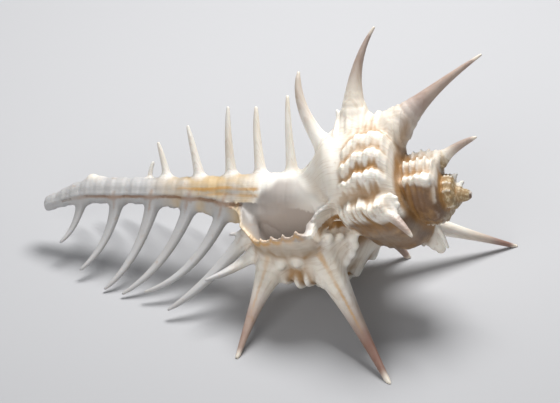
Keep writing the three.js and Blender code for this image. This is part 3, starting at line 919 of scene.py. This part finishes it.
def plug(socket, value):
    if isinstance(value, bpy.types.NodeSocket):
        tree.links.new(value, socket)
    else:
        socket.default_value = value


def node(kind, **inputs):
    made = tree.nodes.new(kind)
    for name, value in inputs.items():
        plug(made.inputs[name.replace("_", " ")], value)
    return made


def marked(name, output="Fac"):
    made = node("ShaderNodeAttribute")
    made.attribute_name = name
    return made.outputs[output]


def spread(value, low, high, to_low=0.0, to_high=1.0):
    made = node("ShaderNodeMapRange", Value=value, From_Min=low, From_Max=high)
    made.interpolation_type = "SMOOTHSTEP"
    plug(made.inputs["To Min"], to_low)
    plug(made.inputs["To Max"], to_high)
    return made.outputs["Result"]


def worked(kind, first, second):
    made = node("ShaderNodeMath")
    made.operation = kind
    plug(made.inputs[0], first)
    plug(made.inputs[1], second)
    return made.outputs["Value"]


def times(first, second):
    return worked("MULTIPLY", first, second)


def coated(amount, under, over):
    made = node("ShaderNodeMix")
    made.data_type = "RGBA"
    plug(made.inputs[MIX_AMOUNT], amount)
    plug(made.inputs[MIX_UNDER], under)
    plug(made.inputs[MIX_OVER], over)
    return made.outputs[MIX_COLOUR]


def noise(place, scale, detail=3.0):
    return node("ShaderNodeTexNoise", Vector=place, Scale=scale, Detail=detail).outputs["Fac"]


object_place = node("ShaderNodeTexCoord").outputs["Object"]
growth_place = node("ShaderNodeMapping", Vector=marked("grain", "Vector"), Scale=GROWTH_STRETCH)
growth_lines = noise(growth_place.outputs["Vector"], 1.0, 4.0)
blotches = noise(object_place, 90.0, 4.0)
mottles = noise(object_place, 210.0)
specks = noise(object_place, 420.0)
fine_mottles = noise(object_place, 900.0, 2.0)


def blotchy(name, least, most, low=0.3, high=0.6):
    """A marking broken up by blotches, from its least share to its most."""
    return times(marked(name), spread(blotches, low, high, least, most))


def lessened_by(name, left):
    """1 away from a marking, down to what is left of it at its middle."""
    return spread(marked(name), 0.0, 1.0, 1.0, left)


# Ivory and white under faint growth lines, brown with painted shade in the furrows between ribs.
colour = coated(spread(blotches, 0.35, 0.7), IVORY, WHITE)
colour = coated(times(spread(growth_lines, 0.5, 0.68), 0.22), colour, TAN)
furrow_brown_and_shade = blotchy("furrow", 0.1, 0.6, 0.35, 0.65)
furrow_brown_and_shade = times(furrow_brown_and_shade, lessened_by("mouth_side", 0.3))
colour = coated(furrow_brown_and_shade, colour, TAN)

# The spire: rust and tan between pale crests, darkest where the crests are lowest and partly painted shade
# there, golden at its tip.
tan_and_shade = times(spread(marked("crest"), 0.95, 0.45, 0.1, 0.97), spread(blotches, 0.25, 0.6, 0.7, 1.0))
tan_and_shade = times(tan_and_shade, lessened_by("pale_turn", 0.32))
pale_shoulder = times(marked("shoulder"), spread(mottles, 0.4, 0.6))
tan_and_shade = times(tan_and_shade, spread(pale_shoulder, 0.0, 1.0, 1.0, 0.25))
tip_colour = coated(spread(fine_mottles, 0.42, 0.62), GOLD, TIP_CREAM)
rust_colour = coated(spread(mottles, 0.48, 0.78), RUST, TAN)
spire_colour = coated(marked("tip_of_spire"), rust_colour, tip_colour)
colour = coated(times(marked("spire"), tan_and_shade), colour, spire_colour)
# Painted shade, tan, in the groove at the first side spine's root.
colour = coated(times(marked("groove_shade_up"), 0.55), colour, TAN)

# The lip varix, the canal, and every hollow off the canal.
# Brown with painted shade in the low places of the lip varix.
lip_brown_and_shade = times(blotchy("lip_varix", 0.35, 0.85), spread(marked("crest"), 0.75, 0.3))
colour = coated(lip_brown_and_shade, colour, BROWN)
# Painted shade: the white canal is greyed, save on the upright side spines.
colour = coated(times(marked("canal"), 0.85), colour, CANAL_SHADE_GREY)
colour = coated(blotchy("golden", 0.1, 0.8), colour, OCHRE)
# Brown with painted shade in every hollow, where the surface lies below its surroundings.
hollow_brown_and_shade = times(spread(marked("relief"), 0.2, -0.3), spread(blotches, 0.3, 0.6, 0.4, 1.0))
hollow_brown_and_shade = times(hollow_brown_and_shade, lessened_by("mouth_side", 0.15))
hollow_brown_and_shade = times(hollow_brown_and_shade, lessened_by("spine_near", 0.25))
off_canal = worked("SUBTRACT", 1.0, times(marked("canal"), 0.75))
colour = coated(times(hollow_brown_and_shade, off_canal), colour, BROWN)

# Stained spines with pale ends, specks all over, then the mouth and its lines.
colour = coated(blotchy("stain", 0.8, 1.0), colour, PURPLE_BROWN)
colour = coated(marked("stain_tip"), colour, IVORY)
colour = coated(times(spread(specks, 0.62, 0.75), 0.25), colour, BROWN)
MOUTH_COATS = (
    # Painted shade on the lip's outer face.
    ("lip_face_shade", 0.5, SHADE_GREY_TAN),
    ("mouth_margin", 0.8, WHITE),
    # The glaze's grey cream is partly its own colour and partly painted shade of the hollow.
    ("glaze", 0.95, CREAM),
    # White glaze and painted light on the mouth's upper right.
    ("pale_glaze_and_light", 0.95, WHITE),
    # Painted shade on the mouth's left rim.
    ("left_rim_shade", 0.75, RIM_SHADE_GREY),
)
for name, share, coat in MOUTH_COATS:
    colour = coated(times(marked(name), share), colour, coat)
colour = coated(blotchy("lip_line", 0.5, 0.95), colour, ORANGE)
colour = coated(blotchy("streak", 0.35, 0.9, 0.3, 0.55), colour, ORANGE)
colour = coated(times(marked("slit"), 0.7), colour, SLIT_BROWN)

grain_height = worked("ADD", times(growth_lines, 0.7), times(specks, 0.35))
grain_strength = spread(marked("smooth"), 0.0, 1.0, 0.35, 0.05)
grained = node("ShaderNodeBump", Strength=grain_strength, Distance=GRAIN_DEPTH, Height=grain_height)
surface = node(
    "ShaderNodeBsdfPrincipled", Base_Color=colour, Normal=grained.outputs["Normal"], Roughness=POLISH,
    Subsurface_Weight=GLOW, Subsurface_Scale=GLOW_DEPTH, Subsurface_Radius=GLOW_REACH,
)
node("ShaderNodeOutputMaterial", Surface=surface.outputs["BSDF"])
shell_mesh.materials.clear()
shell_mesh.materials.append(material)

# The table. A plain pale floor carries the shell on its five spine tips. A broad soft lamp above and behind,
# a wider one in front and a faint sky light it. Sizes and places are metres here.
FLOOR_HALF = 3.0
FLOOR_GREY = (0.42, 0.42, 0.43, 1)
FLOOR_ROUGHNESS = 0.9
LAMPS_AIM = Vector((0.0, 0.0, 0.03))
SKY_COLOUR = (0.9, 0.95, 1.0, 1)
SKY_STRENGTH = 0.14
floor_mesh = bpy.data.meshes.new("floor")
floor_mesh.from_pydata(
    [(-FLOOR_HALF, -FLOOR_HALF, 0), (FLOOR_HALF, -FLOOR_HALF, 0), (FLOOR_HALF, FLOOR_HALF, 0),
     (-FLOOR_HALF, FLOOR_HALF, 0)], [], [(0, 1, 2, 3)])
floor = bpy.data.objects.new("floor", floor_mesh)
bpy.context.scene.collection.objects.link(floor)
floor_paint = bpy.data.materials.new("floor")
floor_paint.use_nodes = True
floor_shader = floor_paint.node_tree.nodes["Principled BSDF"]
floor_shader.inputs["Base Color"].default_value = FLOOR_GREY
floor_shader.inputs["Roughness"].default_value = FLOOR_ROUGHNESS
floor_mesh.materials.append(floor_paint)


def lamp(name, place, size, power):
    data = bpy.data.lights.new(name, "AREA")
    data.shape = "DISK"
    data.size = size
    data.energy = power
    made = bpy.data.objects.new(name, data)
    made.location = place
    made.rotation_euler = (LAMPS_AIM - Vector(place)).to_track_quat("-Z", "Y").to_euler()
    bpy.context.scene.collection.objects.link(made)


lamp("key", place=(0.06, 0.19, 0.40), size=0.22, power=2.9)
lamp("fill", place=(-0.28, -0.75, 0.47), size=0.6, power=4.0)
sky = bpy.data.worlds.new("sky")
sky.use_nodes = True
sky_light = sky.node_tree.nodes["Background"]
sky_light.inputs["Color"].default_value = SKY_COLOUR
sky_light.inputs["Strength"].default_value = SKY_STRENGTH
bpy.context.scene.world = sky
bpy.context.scene.view_settings.view_transform = "Standard"
